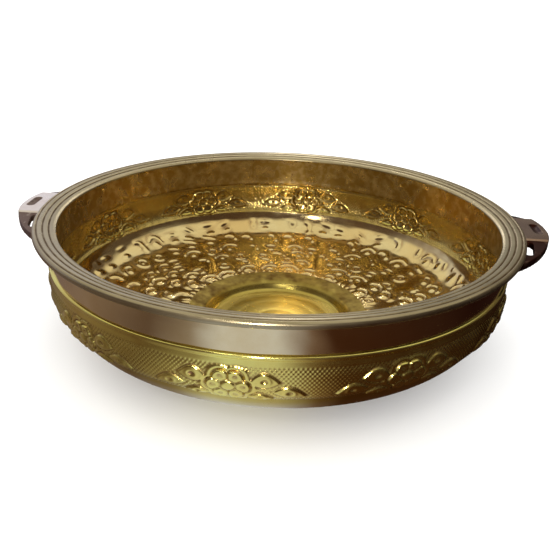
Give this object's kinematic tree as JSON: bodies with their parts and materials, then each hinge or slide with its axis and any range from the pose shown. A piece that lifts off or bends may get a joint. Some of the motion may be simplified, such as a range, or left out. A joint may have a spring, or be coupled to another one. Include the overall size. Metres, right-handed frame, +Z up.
{
  "type": "urli bowl",
  "caption": "Wide shallow round metal bowl with a flat grooved rim, plain neck, bulging embossed belly, dished floor with a pressed foot, and two pierced lug handles.",
  "frame": {"origin": "middle of the flat underside of the foot, on the surface the bowl stands on", "axes": "+Z up through the middle of the bowl, +X through the middle of one handle"},
  "size_m": [0.333, 0.3, 0.08],
  "materials": {
    "embossed_brass": "polished, embossed",
    "plain_brass": "polished",
    "cast_brass": "turned and polished"
  },
  "bodies": {
    "root": {"pan": "embossed_brass", "neck_collar": "plain_brass", "rim_ring": "cast_brass", "handle_left": "cast_brass", "handle_right": "cast_brass"}
  },
  "joints": []
}
